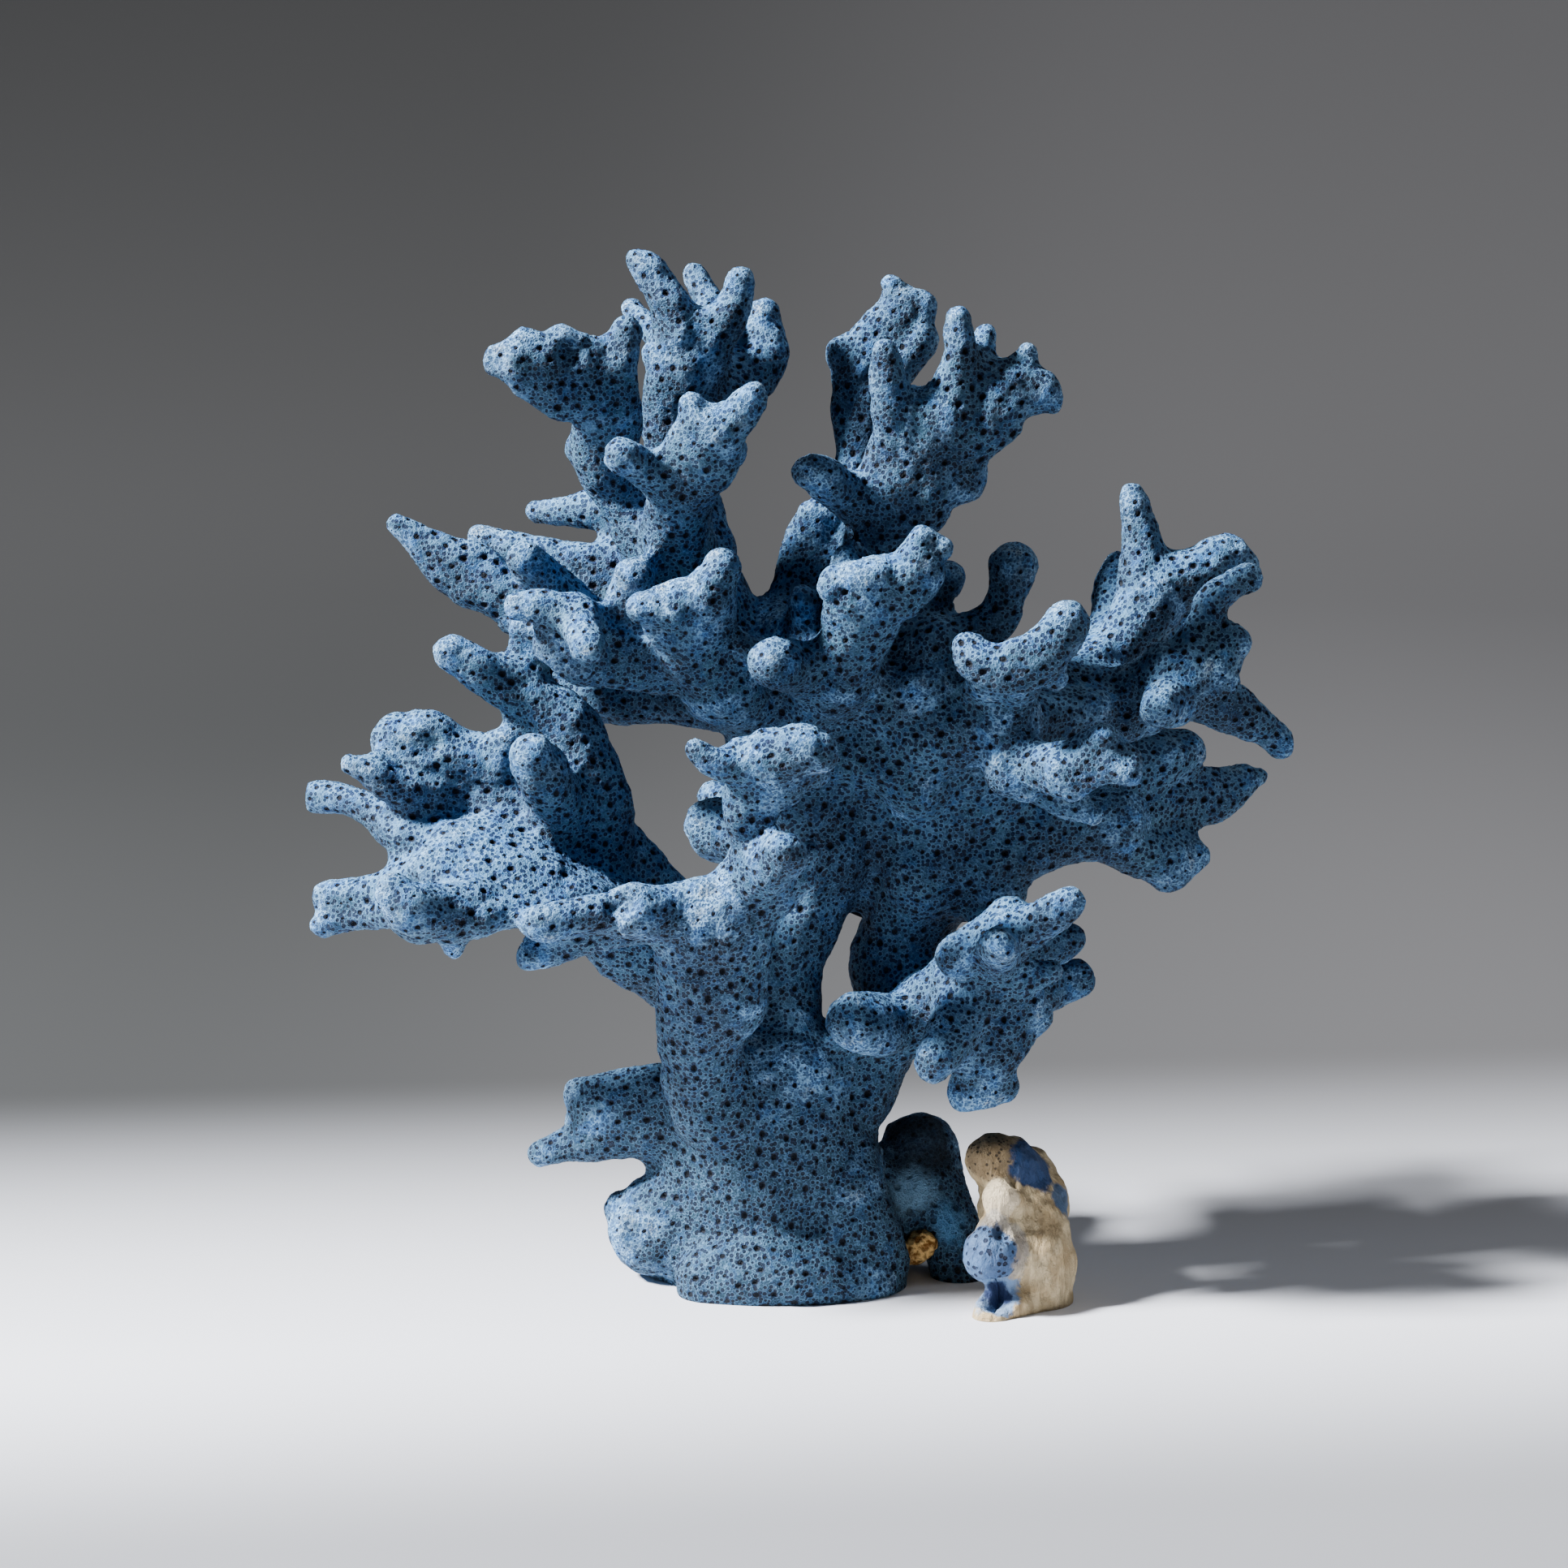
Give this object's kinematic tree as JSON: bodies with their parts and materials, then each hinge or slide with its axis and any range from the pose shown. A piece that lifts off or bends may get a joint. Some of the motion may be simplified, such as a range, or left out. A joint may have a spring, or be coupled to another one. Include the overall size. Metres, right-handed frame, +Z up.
{
  "type": "coral skeleton",
  "caption": "Branching blue ridge coral skeleton with flattened, fingered branches, cut off flat at its foot, beside a small crusted lump.",
  "frame": {"origin": "on the flat cut at the colony's foot, below its trunk", "axes": "+X to the right as seen from the pictured side, +Y away from the viewer, +Z up the trunk"},
  "size_m": [0.1599, 0.0816, 0.1682],
  "materials": {
    "blue_coral": "matte",
    "lime_crust": "matte",
    "rubble": "matte"
  },
  "bodies": {
    "root": {"base": "blue_coral", "base_spur": "blue_coral", "base_lump": "blue_coral", "front_fan": "blue_coral", "left_branch": "blue_coral", "right_plate": "blue_coral", "right_low_branch": "blue_coral", "right_front_cluster": "blue_coral", "right_far_branch": "blue_coral", "upper_centre_fan": "blue_coral", "upper_left_fan": "blue_coral", "upper_left_rear_fan": "blue_coral", "top_left_branch": "blue_coral", "top_right_branch": "blue_coral", "back_branch": "blue_coral", "back_low_branch": "blue_coral", "crusted_lump": "lime_crust", "rubble_crumb": "rubble"}
  },
  "joints": []
}
